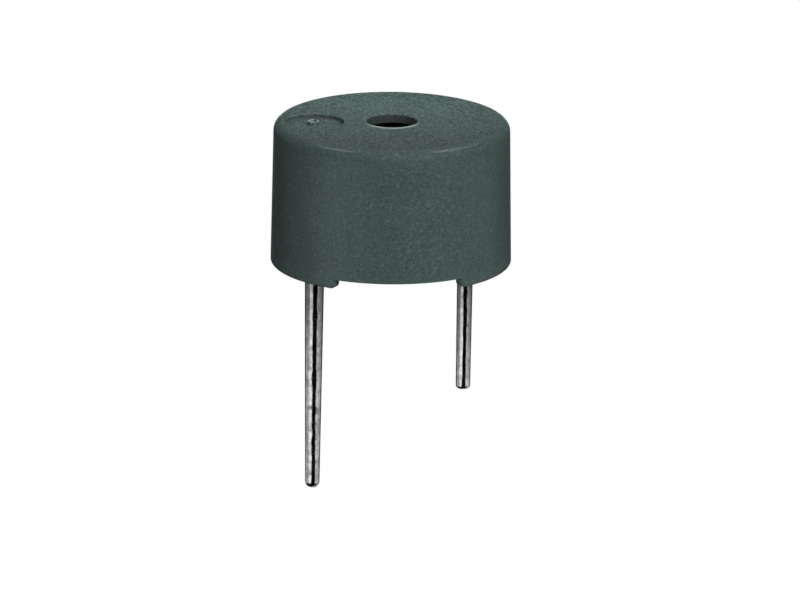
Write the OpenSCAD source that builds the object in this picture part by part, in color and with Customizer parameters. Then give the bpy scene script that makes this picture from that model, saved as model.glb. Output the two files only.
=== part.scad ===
// Round piezo buzzer with its own drive circuit and two wire leads, standing on its feet.
// The origin lies on the seating plane, midway between the leads. The positive lead is at -X.

/* [Case] */
// Outside diameter of the case at its foot
case_d = 12; // [11:0.1:14]
// Height of the case above the surface that it stands on
case_h = 7.2; // [6.4:0.1:9]
// Draft of the side wall, in degrees
draft_angle = 1; // [0:0.25:2]
// Radius of the edge round the top
top_edge_r = 0.5; // [0.2:0.05:0.8]
// Radius of the edge round the foot
foot_edge_r = 0.1; // [0.05:0.01:0.2]
// Thickness of the top wall
top_t = 0.45; // [0.35:0.05:0.7]
// Thickness of the skirt round the circuit board
skirt_t = 0.5; // [0.4:0.05:0.7]
// Diameter of the sound hole
sound_hole_d = 2.5; // [1.5:0.1:3.5]
// Radius of the lip round the sound hole
sound_hole_lip_r = 0.06; // [0.02:0.01:0.12]

/* [Gate recess] */
// Diameter of the round recess where the moulding was fed
gate_recess_d = 2.9; // [2:0.1:3.2]
// Depth of the recess
gate_recess_depth = 0.22; // [0.1:0.01:0.3]
// Gap between the recess and the round of the top edge
gate_edge_gap = 0.03; // [0:0.01:0.3]
// Radius of the recess's rim
gate_rim_r = 0.05; // [0.02:0.01:0.08]
// Radius round the recess's floor
gate_floor_r = 0.08; // [0.02:0.01:0.1]
// Diameter of the stub that the moulding feed left behind
gate_stub_d = 0.6; // [0.3:0.05:1]
// Height of the stub
gate_stub_h = 0.16; // [0.05:0.01:0.2]
// Thickening of the top wall behind the recess
gate_boss_t = 0.25; // [0.1:0.05:0.4]

/* [Feet] */
// Height of the two feet, which are stretches of the case's rim
standoff_h = 0.48; // [0.2:0.02:0.8]
// Width of the washing gaps between the feet, across the outside
vent_gap_w = 6.3; // [3:0.1:7]
// Radius of the feet's ends, where they meet the surface
foot_end_r = 0.24; // [0.1:0.02:0.3]
// Radius in the roof corners of the washing gaps
vent_roof_r = 0.06; // [0.05:0.01:0.2]

/* [Chambers and ledges] */
// Height of the sound chamber in front of the diaphragm
front_chamber_h = 1.25; // [0.8:0.05:1.6]
// Width of the ledge that the diaphragm is bonded to
diaphragm_ledge = 0.5; // [0.3:0.05:0.8]
// Width of the ledge that the circuit board stops against
board_ledge = 0.2; // [0.15:0.01:0.4]

/* [Diaphragm] */
// Thickness of the brass diaphragm plate
plate_t = 0.1; // [0.05:0.01:0.2]
// Clearance between the plate's edge and the case
plate_clearance = 0.1; // [0.05:0.01:0.2]
// Clearance on each side of the ground joint, on the bare brass between the ceramic and the silicone
ground_joint_clearance = 0.08; // [0.04:0.01:0.3]
// Thickness of the ceramic disc
ceramic_t = 0.12; // [0.08:0.01:0.25]
// Margin of bare ceramic round the silver electrodes
electrode_margin = 0.3; // [0.1:0.05:0.6]
// Thickness of the silver electrodes
electrode_t = 0.02; // [0.01:0.005:0.05]
// Width of the feedback electrode
feedback_electrode_w = 1.4; // [1:0.1:2]
// Gap between the two electrodes
electrode_gap = 0.3; // [0.15:0.05:0.5]
// Size of the silicone bead that holds the diaphragm
bond_bead = 0.35; // [0.2:0.05:0.4]

/* [Circuit board] */
// Thickness of the board
board_t = 0.8; // [0.5:0.1:1.2]
// Clearance between the board's edge and the case
board_clearance = 0.05; // [0.02:0.01:0.1]
// Thickness of the copper tracks
track_t = 0.035; // [0.018:0.001:0.07]
// Width of the copper tracks
track_w = 0.35; // [0.2:0.05:0.5]

/* [Resin seal] */
// Depth from the roof of the washing gaps to the face of the resin
resin_inset = 0.27; // [0.22:0.01:0.5]
// Thickness of the resin under the circuit board
resin_t = 1.15; // [0.8:0.05:1.5]
// Height that the resin creeps along the case and the leads
meniscus = 0.2; // [0.1:0.01:0.22]

/* [Leads] */
// Distance from the axis of each lead to the inside of the skirt, which sets the pitch of the leads
lead_inset = 1.75; // [1.2:0.05:2.2]
// Diameter of the leads
lead_d = 0.8; // [0.6:0.05:0.9]
// Length of the positive lead below the seating plane
positive_lead_l = 11.85; // [5:0.05:16]
// Length of the negative lead below the seating plane
negative_lead_l = 6.75; // [4:0.05:14]
// Width of the collar that locks each lead in the resin and stops it under the board
lead_collar_w = 0.2; // [0.18:0.02:0.4]
// Diameter of the thinner tails that pass through the circuit board
lead_tail_d = 0.44; // [0.3:0.02:0.5]
// Clearance round the tails in the board's holes
lead_hole_clearance = 0.05; // [0.02:0.01:0.1]

/* [Chip parts] */
// Length of a chip resistor
resistor_l = 1.6; // [1:0.1:2]
// Width of a chip resistor
resistor_w = 0.8; // [0.5:0.05:1]
// Height of a chip resistor
resistor_h = 0.45; // [0.3:0.05:0.6]
// Length of a resistor's metal end caps
end_cap_l = 0.3; // [0.2:0.05:0.4]
// Thickness of the metal of the end caps
end_cap_t = 0.03; // [0.01:0.005:0.05]
// Length of the transistor's moulded body
transistor_l = 2.9; // [2.5:0.1:3.2]
// Width of the transistor's moulded body
transistor_w = 1.3; // [1.1:0.1:1.6]
// Height of the transistor's moulded body
transistor_h = 0.95; // [0.7:0.05:1.2]
// Reach of the legs beyond the body
leg_reach = 0.55; // [0.5:0.05:0.8]
// Distance between the two legs on one side
leg_pitch = 1.9; // [1.7:0.05:2.1]
// Width of a leg
leg_w = 0.4; // [0.3:0.02:0.5]
// Thickness of a leg
leg_t = 0.12; // [0.08:0.01:0.15]

/* [Wires and solder] */
// Diameter of the wires from the board to the diaphragm
wire_d = 0.4; // [0.25:0.05:0.45]
// Width of the solder round a lead's tail
lead_solder_w = 0.6; // [0.3:0.05:0.8]
// Width of the solder round a wire
wire_solder_w = 0.2; // [0.15:0.01:0.3]

/* [Hidden] */
$fn = 96;
// How far each cut runs past the face that it opens
overrun = 0.5;

// Radii and heights of the case
case_r = case_d / 2;
top_r = case_r - case_h * tan(draft_angle);
sound_hole_r = sound_hole_d / 2;
bore_r = case_r - skirt_t;
waist_r = bore_r - board_ledge;
chamber_r = waist_r - diaphragm_ledge;
ceiling_z = case_h - top_t;
diaphragm_z = ceiling_z - front_chamber_h;
resin_z = standoff_h + resin_inset;
board_z = resin_z + resin_t;
board_top_z = board_z + board_t;
track_top_z = board_top_z + track_t;

// Gate recess, above the positive lead
gate_recess_r = gate_recess_d / 2;
gate_x = top_edge_r + gate_edge_gap + gate_rim_r + gate_recess_r - top_r;
gate_boss_margin = 0.3;
gate_floor_z = case_h - gate_recess_depth;
gate_stub_top_share = 0.65;

// Leads
lead_x = bore_r - lead_inset;
lead_r = lead_d / 2;
lead_tail_r = lead_tail_d / 2;
lead_hole_r = lead_tail_r + lead_hole_clearance;
lead_collar_r = lead_r + lead_collar_w;
lead_collar_cover = 0.08;
lead_collar_z = resin_z + lead_collar_cover;
lead_tail_proud = 0.15;
// The positive lead has a domed tip, and the shorter one is cut flat with a worn edge
positive_tip_share = 0.9;
negative_tip_share = 0.5;
tail_tip_share = 0.4;

// Solder joints: the toe is the edge against the pad, and the rim is the solder round the wire at the top
solder_toe = 0.05;
solder_rim = 0.08;
lead_solder_r = lead_tail_r + lead_solder_w;
lead_solder_h = solder_h(lead_solder_w);
lead_tail_z = track_top_z + lead_solder_h + lead_tail_proud;
wire_r = wire_d / 2;
wire_solder_r = wire_r + wire_solder_w;
wire_solder_h = solder_h(wire_solder_w);

// Diaphragm
plate_r = waist_r - plate_clearance;
plate_z = diaphragm_z - plate_t;
bond_inner_r = waist_r - bond_bead;
ground_point_r = bond_inner_r - ground_joint_clearance - wire_solder_r;
ceramic_r = ground_point_r - wire_solder_r - ground_joint_clearance;
ceramic_z = plate_z - ceramic_t;
electrode_r = ceramic_r - electrode_margin;
electrode_z = ceramic_z - electrode_t;
feedback_reach_share = 0.15;

// Places on the circuit board and on the diaphragm, as shares of their radius
board_r = bore_r - board_clearance;
transistor_shares = [0, 0.22];
load_resistor_shares = [-0.46, 0.4];
bias_resistor_shares = [-0.46, -0.4];
feedback_resistor_shares = [0.06, -0.44];
drive_pad_shares = [-0.3, 0.74];
ground_pad_shares = [0.52, 0.62];
feedback_pad_shares = [0.42, -0.66];
drive_point_shares = [-0.25, 0.45];
feedback_point_shares = [0, -0.62];
ground_point_angle = 70;

// Chip resistors: [place on the board, angle]
load_resistor_at = [load_resistor_shares * board_r, 90];
bias_resistor_at = [bias_resistor_shares * board_r, 90];
feedback_resistor_at = [feedback_resistor_shares * board_r, 0];
pad_margin = 0.1;

// Transistor: two legs face -Y and one faces +Y
transistor_at = transistor_shares * board_r;
transistor_standoff = 0.08;
transistor_draft_share = 0.9;
leg_embed = 0.3;
leg_foot = 0.35;
leg_top_z = transistor_standoff + transistor_h / 2 + leg_t / 2;
leg_places = [[-leg_pitch / 2, 0], [leg_pitch / 2, 0], [0, 180]];
leg_end_y = transistor_w / 2 + leg_reach;
leg_foot_y = leg_end_y - leg_foot / 2;

// Wires: [place on the board, place on the diaphragm, height that they reach]
wire_sides = 8;
wire_steps = 14;
wire_stub_clear = 0.08;
wire_stub = wire_solder_h + wire_stub_clear;
drive_route = [drive_pad_shares * board_r, drive_point_shares * electrode_r, electrode_z];
ground_route = [
    ground_pad_shares * board_r,
    ground_point_r * [cos(ground_point_angle), sin(ground_point_angle)],
    plate_z
];
feedback_route = [feedback_pad_shares * board_r, feedback_point_shares * electrode_r, electrode_z];
wire_routes = [drive_route, ground_route, feedback_route];

// Round of radius r at corner b between a and c: where its arc starts, its centre, and where its arc ends
function round_at(a, b, c, r) =
    let (
        u = (a - b) / norm(a - b),
        v = (c - b) / norm(c - b),
        half = acos(u * v) / 2
    )
    [b + u * r / tan(half), b + (u + v) / norm(u + v) * r / sin(half), b + v * r / tan(half)];

// Outline through corners, each given as [point, radius], where the rounded corners are convex
module rounded_outline(corners) {
    count = len(corners);
    arcs = [
        for (i = [0 : count - 1])
            let (
                before = corners[(i + count - 1) % count][0],
                at = corners[i][0],
                after = corners[(i + 1) % count][0],
                r = corners[i][1]
            )
            r > 0 ? round_at(before, at, after, r) : [at]
    ];
    polygon([for (arc = arcs) each arc]);
    for (i = [0 : count - 1])
        if (corners[i][1] > 0)
            intersection() {
                translate(arcs[i][1]) circle(corners[i][1]);
                polygon([arcs[i][0], corners[i][0], arcs[i][2], arcs[i][1]]);
            }
}

// Case: a drafted cup with a stepped bore, open at the foot
module case_section() {
    rounded_outline([
        [[bore_r, 0], 0],
        [[case_r, 0], foot_edge_r],
        [[top_r, case_h], top_edge_r],
        [[sound_hole_r, case_h], sound_hole_lip_r],
        [[sound_hole_r, ceiling_z], 0],
        [[chamber_r, ceiling_z], 0],
        [[chamber_r, diaphragm_z], 0],
        [[waist_r, diaphragm_z], 0],
        [[waist_r, board_top_z], 0],
        [[bore_r, board_top_z], 0]
    ]);
}

// One end of a washing gap, seen along the radius: the foot ends at zero, with its corner rounded off below
module vent_end_outline() {
    reach = vent_gap_w / 2 + overrun;
    difference() {
        union() {
            rounded_outline([
                [[-reach, -overrun], 0],
                [[0, -overrun], 0],
                [[0, standoff_h], vent_roof_r],
                [[-reach, standoff_h], 0]
            ]);
            translate([-overrun, -overrun]) square([foot_end_r, foot_end_r] + overrun * [1, 1]);
        }
        translate([foot_end_r, foot_end_r]) circle(foot_end_r);
    }
}

// Half of a washing gap, from the radial end of a foot to past the middle
module vent_half() {
    rotate([0, 0, asin(vent_gap_w / case_d)])
        rotate([90, 0, 0])
            linear_extrude(case_r + overrun) vent_end_outline();
}

// Washing gaps through the rim, in front and behind, between the feet
module vent_gaps() {
    for (turn = [0, 180])
        rotate([0, 0, turn]) {
            vent_half();
            mirror([1, 0, 0]) vent_half();
        }
}

// Half section of the gate recess, with a round floor corner and the flare that rounds its rim
module gate_recess_section() {
    flare_r = gate_recess_r + gate_rim_r;
    difference() {
        union() {
            rounded_outline([
                [[0, gate_floor_z], 0],
                [[gate_recess_r, gate_floor_z], gate_floor_r],
                [[gate_recess_r, case_h], 0],
                [[0, case_h], 0]
            ]);
            translate([0, case_h - gate_rim_r]) square([flare_r, gate_rim_r + overrun]);
        }
        translate([flare_r, case_h - gate_rim_r]) circle(gate_rim_r);
    }
}

module case() {
    color([0.26, 0.32, 0.31]) {
        difference() {
            union() {
                rotate_extrude() case_section();
                intersection() {
                    translate([gate_x, 0, ceiling_z - gate_boss_t])
                        cylinder(r = gate_recess_r + gate_boss_margin, h = gate_boss_t);
                    cylinder(r = waist_r, h = case_h);
                }
            }
            vent_gaps();
            translate([gate_x, 0, 0]) rotate_extrude() gate_recess_section();
            translate([0, 0, diaphragm_z]) cylinder(r = sound_hole_r, h = front_chamber_h);
        }
        translate([gate_x, 0, gate_floor_z])
            cylinder(d1 = gate_stub_d, d2 = gate_stub_d * gate_stub_top_share, h = gate_stub_h);
    }
}

// Lead: a round pin with a collar in the resin, against the board, and a thinner tail through the board
module lead(x, length, tip_share) {
    translate([x, 0, 0])
        rotate_extrude()
            rounded_outline([
                [[0, -length], 0],
                [[lead_r, -length], lead_r * tip_share],
                [[lead_r, lead_collar_z], 0],
                [[lead_collar_r, lead_collar_z], 0],
                [[lead_collar_r, board_z], 0],
                [[lead_tail_r, board_z], 0],
                [[lead_tail_r, lead_tail_z], lead_tail_r * tail_tip_share],
                [[0, lead_tail_z], 0]
            ]);
}

module positive_lead() {
    color([0.78, 0.79, 0.8]) lead(-lead_x, positive_lead_l, positive_tip_share);
}

module negative_lead() {
    color([0.78, 0.79, 0.8]) lead(lead_x, negative_lead_l, negative_tip_share);
}

// Resin: fills the cup under the board and creeps along the case and the leads
module resin_seal() {
    color([0.1, 0.1, 0.11])
        difference() {
            union() {
                rotate_extrude()
                    polygon([
                        [0, resin_z],
                        [bore_r - meniscus, resin_z],
                        [bore_r, resin_z - meniscus],
                        [bore_r, board_z],
                        [0, board_z]
                    ]);
                for (side = [-1, 1])
                    translate([side * lead_x, 0, resin_z - meniscus])
                        cylinder(r1 = lead_r, r2 = lead_r + meniscus, h = meniscus);
            }
            lead(-lead_x, positive_lead_l, positive_tip_share);
            lead(lead_x, negative_lead_l, negative_tip_share);
        }
}

module circuit_board() {
    color([0.45, 0.36, 0.2])
        translate([0, 0, board_z])
            linear_extrude(board_t)
                difference() {
                    circle(board_r);
                    lead_holes();
                }
}

module lead_holes() {
    for (side = [-1, 1])
        translate([side * lead_x, 0]) circle(lead_hole_r);
}

// Track of even width through a list of points
module track(points) {
    for (i = [0 : len(points) - 2]) {
        step = points[i + 1] - points[i];
        translate(points[i])
            rotate(atan2(step[1], step[0]))
                translate([0, -track_w / 2]) square([norm(step), track_w]);
    }
    for (point = points)
        translate(point) circle(d = track_w);
}

// Middle of a resistor's end cap: end is -1 or 1 along the resistor
function cap_at(place, end) =
    let (reach = end * (resistor_l - end_cap_l) / 2)
    place[0] + reach * [cos(place[1]), sin(place[1])];

// Middle of a transistor leg's foot
function leg_foot_at(leg) =
    transistor_at + [leg[0] * cos(leg[1]), -leg_foot_y * cos(leg[1])];

module resistor_pads(place) {
    for (end = [-1, 1])
        translate(cap_at(place, end))
            rotate(place[1])
                square([end_cap_l, resistor_w] + 2 * pad_margin * [1, 1], center = true);
}

// Copper: a pad under every joint and the tracks that make the drive circuit
module copper_tracks() {
    positive = [-lead_x, 0];
    negative = [lead_x, 0];
    base = leg_foot_at(leg_places[0]);
    emitter = leg_foot_at(leg_places[1]);
    collector = leg_foot_at(leg_places[2]);
    base_corner = [base[0], cap_at(bias_resistor_at, -1)[1]];
    color([0.72, 0.45, 0.22])
        translate([0, 0, board_top_z])
            linear_extrude(track_t)
                difference() {
                    union() {
                        for (pad = [positive, negative])
                            translate(pad) circle(lead_solder_r);
                        for (route = wire_routes)
                            translate(route[0]) circle(wire_solder_r);
                        for (place = [load_resistor_at, bias_resistor_at, feedback_resistor_at])
                            resistor_pads(place);
                        for (leg = leg_places)
                            translate(leg_foot_at(leg))
                                square([leg_w, leg_foot] + 2 * pad_margin * [1, 1], center = true);
                        track([cap_at(load_resistor_at, -1), positive, cap_at(bias_resistor_at, 1)]);
                        track([cap_at(load_resistor_at, 1), collector]);
                        track([cap_at(load_resistor_at, 1), drive_route[0]]);
                        track([cap_at(bias_resistor_at, -1), base_corner, base]);
                        track([base_corner, cap_at(feedback_resistor_at, -1)]);
                        track([cap_at(feedback_resistor_at, 1), feedback_route[0]]);
                        track([emitter, negative, ground_route[0]]);
                    }
                    lead_holes();
                }
}

// Height of a solder joint of a given width, whose side is a quarter round from the toe up to the rim
function solder_h(width) = solder_toe + width - solder_rim;

// Half section of a solder joint
module solder_section(joint_r, joint_h) {
    difference() {
        square([joint_r, joint_h]);
        translate([joint_r, joint_h]) circle(joint_h - solder_toe);
    }
}

module lead_solder() {
    color([0.75, 0.76, 0.77])
        for (side = [-1, 1])
            translate([side * lead_x, 0, track_top_z])
                difference() {
                    rotate_extrude() solder_section(lead_solder_r, lead_solder_h);
                    translate([0, 0, -overrun]) cylinder(r = lead_tail_r, h = lead_solder_h + 2 * overrun);
                }
}

// Chip resistor in its own frame, lying along X on its lower face
module resistor_blank(length, width, height) {
    translate([-length / 2, -width / 2, -height / 2]) cube([length, width, height]);
}

module resistor_body() {
    translate([0, 0, resistor_h / 2])
        resistor_blank(resistor_l - 2 * end_cap_t, resistor_w - 2 * end_cap_t, resistor_h - 2 * end_cap_t);
}

module place_resistor(place) {
    translate([place[0][0], place[0][1], track_top_z]) rotate([0, 0, place[1]]) children();
}

module load_resistor() {
    color([0.12, 0.12, 0.13]) place_resistor(load_resistor_at) resistor_body();
}

module bias_resistor() {
    color([0.12, 0.12, 0.13]) place_resistor(bias_resistor_at) resistor_body();
}

module feedback_resistor() {
    color([0.12, 0.12, 0.13]) place_resistor(feedback_resistor_at) resistor_body();
}

module resistor_end_caps() {
    color([0.8, 0.8, 0.8])
        for (place = [load_resistor_at, bias_resistor_at, feedback_resistor_at], end = [-1, 1])
            place_resistor(place)
                difference() {
                    translate([end * (resistor_l - end_cap_l) / 2, 0, resistor_h / 2])
                        resistor_blank(end_cap_l, resistor_w, resistor_h);
                    resistor_body();
                }
}

// Section of the transistor's body across a width: widest at mid height, where the mould parts
module drafted_section(width) {
    half = width / 2;
    drawn = half * transistor_draft_share;
    polygon([
        [-drawn, 0],
        [drawn, 0],
        [half, transistor_h / 2],
        [drawn, transistor_h],
        [-drawn, transistor_h],
        [-half, transistor_h / 2]
    ]);
}

// One gull-wing leg, leaving the body towards -Y
module transistor_leg() {
    inner_y = transistor_w / 2 - leg_embed;
    knee_y = leg_end_y - leg_foot;
    rotate([90, 0, -90])
        linear_extrude(leg_w, center = true)
            polygon([
                [inner_y, leg_top_z - leg_t],
                [knee_y - leg_t, leg_top_z - leg_t],
                [knee_y, 0],
                [leg_end_y, 0],
                [leg_end_y, leg_t],
                [knee_y + leg_t, leg_t],
                [knee_y, leg_top_z],
                [inner_y, leg_top_z]
            ]);
}

module place_transistor() {
    translate([transistor_at[0], transistor_at[1], track_top_z]) children();
}

module transistor_leg_set() {
    for (leg = leg_places)
        rotate([0, 0, leg[1]]) translate([leg[0], 0, 0]) transistor_leg();
}

module transistor_legs() {
    color([0.78, 0.78, 0.78]) place_transistor() transistor_leg_set();
}

module drive_transistor() {
    color([0.1, 0.1, 0.11])
        place_transistor()
            difference() {
                translate([0, 0, transistor_standoff])
                    intersection() {
                        rotate([90, 0, 0])
                            linear_extrude(transistor_w, center = true) drafted_section(transistor_l);
                        rotate([90, 0, 90])
                            linear_extrude(transistor_l, center = true) drafted_section(transistor_w);
                    }
                transistor_leg_set();
            }
}

// Diaphragm: a brass plate against the ledge, the ceramic disc under it and the silver electrodes under that
module diaphragm_plate() {
    color([0.82, 0.66, 0.3]) translate([0, 0, plate_z]) cylinder(r = plate_r, h = plate_t);
}

module piezo_disc() {
    color([0.83, 0.8, 0.72]) translate([0, 0, ceramic_z]) cylinder(r = ceramic_r, h = ceramic_t);
}

// Tongue of the feedback electrode, from the rim towards the middle, widened by margin
module feedback_tongue(margin) {
    half_w = feedback_electrode_w / 2 + margin;
    reach = -electrode_r * feedback_reach_share;
    translate([-half_w, -electrode_r - overrun]) square([2 * half_w, electrode_r + overrun + reach - half_w]);
    translate([0, reach - half_w]) circle(half_w);
}

module main_electrode() {
    color([0.85, 0.85, 0.86])
        translate([0, 0, electrode_z])
            linear_extrude(electrode_t)
                difference() {
                    circle(electrode_r);
                    translate([0, electrode_gap]) feedback_tongue(electrode_gap);
                }
}

module feedback_electrode() {
    color([0.85, 0.85, 0.86])
        translate([0, 0, electrode_z])
            linear_extrude(electrode_t)
                intersection() {
                    circle(electrode_r);
                    feedback_tongue(0);
                }
}

// Silicone: fills the gap at the plate's edge and makes a bead under it
module diaphragm_bond() {
    color([0.88, 0.88, 0.85])
        rotate_extrude() {
            translate([plate_r, plate_z]) square([plate_clearance, plate_t]);
            intersection() {
                translate([waist_r, plate_z]) circle(bond_bead);
                translate([bond_inner_r, plate_z - bond_bead]) square(bond_bead);
            }
        }
}

// Angle that a wire heads in, from the board to the diaphragm
function wire_heading(route) =
    let (step = route[1] - route[0])
    atan2(step[1], step[0]);

// Point at share t of a wire: a smooth rise with upright ends, from its pad to its place on the diaphragm
function wire_point(route, t) =
    let (
        low = track_top_z + wire_stub,
        high = route[2] - wire_stub,
        side = t * t * (3 - 2 * t),
        at = route[0] + (route[1] - route[0]) * side
    )
    [at[0], at[1], low + (high - low) * t];

// Slope of the wire at share t, in degrees from upright
function wire_lean(route, t) =
    let (
        rise = route[2] - track_top_z - 2 * wire_stub,
        run = norm(route[1] - route[0])
    )
    atan2(run * 6 * t * (1 - t), rise);

function wire_ring(at, heading, lean) = [
    for (i = [0 : wire_sides - 1])
        let (
            turn = 360 * i / wire_sides,
            along = wire_r * cos(turn),
            across = wire_r * sin(turn)
        )
        at + along * cos(lean) * [cos(heading), sin(heading), 0]
           + across * [-sin(heading), cos(heading), 0]
           - [0, 0, along * sin(lean)]
];

module wire(route) {
    heading = wire_heading(route);
    foot = [route[0][0], route[0][1], track_top_z];
    head = [route[1][0], route[1][1], route[2]];
    rings = [
        wire_ring(foot, heading, 0),
        for (i = [0 : wire_steps])
            let (t = i / wire_steps)
            wire_ring(wire_point(route, t), heading, wire_lean(route, t)),
        wire_ring(head, heading, 0)
    ];
    last = len(rings) - 1;
    polyhedron(
        points = [for (ring = rings) each ring],
        faces = [
            [for (i = [0 : wire_sides - 1]) i],
            for (j = [0 : last - 1], i = [0 : wire_sides - 1])
                let (next = (i + 1) % wire_sides, low = j * wire_sides, high = low + wire_sides)
                [low + i, high + i, high + next, low + next],
            [for (i = [wire_sides - 1 : -1 : 0]) last * wire_sides + i]
        ]
    );
}

module drive_wire() {
    color([0.75, 0.1, 0.08]) wire(drive_route);
}

module ground_wire() {
    color([0.08, 0.08, 0.08]) wire(ground_route);
}

module feedback_wire() {
    color([0.1, 0.2, 0.6]) wire(feedback_route);
}

// Solder round a wire's end, with the wire's own many-sided bore
module wire_solder(heading) {
    difference() {
        rotate_extrude() solder_section(wire_solder_r, wire_solder_h);
        rotate([0, 0, heading])
            translate([0, 0, -overrun])
                cylinder(r = wire_r, h = wire_solder_h + 2 * overrun, $fn = wire_sides);
    }
}

module board_wire_solder() {
    color([0.75, 0.76, 0.77])
        for (route = wire_routes)
            translate([route[0][0], route[0][1], track_top_z]) wire_solder(wire_heading(route));
}

module diaphragm_wire_solder() {
    color([0.75, 0.76, 0.77])
        for (route = wire_routes)
            translate([route[1][0], route[1][1], route[2]])
                mirror([0, 0, 1]) wire_solder(wire_heading(route));
}

case();
resin_seal();
positive_lead();
negative_lead();
circuit_board();
copper_tracks();
lead_solder();
drive_transistor();
transistor_legs();
load_resistor();
bias_resistor();
feedback_resistor();
resistor_end_caps();
diaphragm_plate();
piezo_disc();
main_electrode();
feedback_electrode();
diaphragm_bond();
drive_wire();
ground_wire();
feedback_wire();
board_wire_solder();
diaphragm_wire_solder();
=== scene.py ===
import math

import bmesh
import bpy
from mathutils import Matrix, Vector


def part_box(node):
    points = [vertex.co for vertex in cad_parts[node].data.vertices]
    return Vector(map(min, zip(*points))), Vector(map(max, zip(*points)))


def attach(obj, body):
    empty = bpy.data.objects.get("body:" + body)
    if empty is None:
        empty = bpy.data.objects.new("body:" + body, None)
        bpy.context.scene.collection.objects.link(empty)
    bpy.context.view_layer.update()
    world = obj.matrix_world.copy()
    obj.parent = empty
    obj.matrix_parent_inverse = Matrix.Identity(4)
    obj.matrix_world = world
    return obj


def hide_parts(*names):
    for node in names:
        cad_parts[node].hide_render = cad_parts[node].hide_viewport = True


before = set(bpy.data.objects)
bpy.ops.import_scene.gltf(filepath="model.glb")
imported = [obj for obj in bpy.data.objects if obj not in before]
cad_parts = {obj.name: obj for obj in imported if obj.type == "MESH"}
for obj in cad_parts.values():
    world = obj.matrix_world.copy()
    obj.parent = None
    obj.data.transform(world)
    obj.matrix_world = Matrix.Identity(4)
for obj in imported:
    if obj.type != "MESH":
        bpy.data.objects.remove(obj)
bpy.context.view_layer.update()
scene = bpy.context.scene
scene.view_settings.view_transform = "Standard"
mm = 0.001
white = (1, 1, 1, 1)
print("frame loaded:", len(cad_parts), "nodes")


class Flow:  # one socket of a node tree, with the arithmetic that the trees below use
    def __init__(self, tree, link=None):
        self.tree = tree
        self.link = link

    def node(self, kind, settings=None, sockets=None, output=0):
        made = self.tree.nodes.new(kind)
        for name, value in (settings or {}).items():
            if name == "items":  # an Index Switch starts with two items
                while len(made.index_switch_items) < value:
                    made.index_switch_items.new()
            else:
                setattr(made, name, value)
        for key, value in (sockets or {}).items():
            if isinstance(value, Flow):
                self.tree.links.new(value.link, made.inputs[key])
            else:
                made.inputs[key].default_value = value
        return Flow(self.tree, made.outputs[output])

    def maths(self, operation, first, second=0.0):
        return self.node("ShaderNodeMath", {"operation": operation}, {0: first, 1: second})

    def __add__(self, other):
        return self.maths("ADD", self, other)

    def __radd__(self, other):
        return self.maths("ADD", other, self)

    def __sub__(self, other):
        return self.maths("SUBTRACT", self, other)

    def __rsub__(self, other):
        return self.maths("SUBTRACT", other, self)

    def __mul__(self, other):
        return self.maths("MULTIPLY", self, other)

    def __rmul__(self, other):
        return self.maths("MULTIPLY", other, self)

    def __truediv__(self, other):
        return self.maths("DIVIDE", self, other)

    def __rtruediv__(self, other):
        return self.maths("DIVIDE", other, self)


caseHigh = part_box("case")[1]
boardLow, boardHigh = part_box("circuit_board")
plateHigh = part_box("diaphragm_plate")[1]
# Draft in degrees, walls from the foot's radius inwards, the flat between the top's edge and the gate, the stub
casePlan = {
    "draft": 1, "skirtWall": 0.5 * mm, "waistWall": 0.7 * mm, "chamberWall": 1.2 * mm,
    "gateInset": 0.08 * mm, "stubHeight": 0.21 * mm,
}
caseSettings = {
    "footRadius": caseHigh.x, "height": caseHigh.z,
    "topRadius": caseHigh.x - caseHigh.z * math.tan(math.radians(casePlan["draft"])),
    "topEdge": 0.5 * mm, "footEdge": 0.1 * mm, "topWall": 0.45 * mm,
    "boreRadius": caseHigh.x - casePlan["skirtWall"], "waistRadius": caseHigh.x - casePlan["waistWall"],
    "chamberRadius": caseHigh.x - casePlan["chamberWall"], "boardTop": boardHigh.z, "plateTop": plateHigh.z,
    "holeRadius": 1.25 * mm, "holeLip": 0.1 * mm,
    "gateRadius": 1.45 * mm, "gateDepth": 0.22 * mm, "gateRim": 0.07 * mm, "gateFloorRound": 0.08 * mm,
    "ventHalf": 3.15 * mm, "ventHeight": 0.48 * mm, "ventRoofRound": 0.06 * mm,
    "footEndRound": 0.24 * mm, "footCorner": 0.16 * mm, "columns": 480,
    "mesh": {"arcSteps": 12, "rowStep": 0.35 * mm, "sharpAngle": 30,
             "gateColumns": 160, "gateArcSteps": 8, "gateFlare": 1.3,
             "ventArcSteps": 8, "ventRows": 121, "ventSpan": (0.7, 1.1), "ventFlare": 3, "ventOverrun": 0.5 * mm},
}
caseSettings["ventAngle"] = math.asin(caseSettings["ventHalf"] / caseSettings["footRadius"])
topZ = caseSettings["height"]
gateX = caseSettings["topEdge"] + casePlan["gateInset"] + caseSettings["gateRadius"] - caseSettings["topRadius"]
gateFloor = topZ - caseSettings["gateDepth"]
stubTop = gateFloor + casePlan["stubHeight"]
clear = 2 * mm  # how far a cutter reaches past what it cuts
skim = 0.002 * mm  # keeps a cutter's flat off the face beside its round
weld = 0.0001 * mm  # points closer than this become one
ringRadius = 1 * mm  # a lathe sweeps its section round a ring of this radius


def startMaterial(name):
    material = bpy.data.materials.new(name)
    material.use_nodes = True
    flow = Flow(material.node_tree)
    place = flow.node("ShaderNodeTexCoord", output="Object")
    return material, material.node_tree.nodes["Principled BSDF"], flow, place


def stretched(flow, place, stretch):
    return flow.node("ShaderNodeMapping", {}, {"Vector": place, "Scale": stretch})


def noise(flow, place, scale, detail, roughness=0.5, output=0):
    return flow.node("ShaderNodeTexNoise", {},
                     {"Vector": place, "Scale": scale, "Detail": detail, "Roughness": roughness}, output)


def ranged(flow, value, low, high, toLow=0.0, toHigh=1.0):
    return flow.node("ShaderNodeMapRange", {}, {0: value, 1: low, 2: high, 3: toLow, 4: toHigh})


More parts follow.
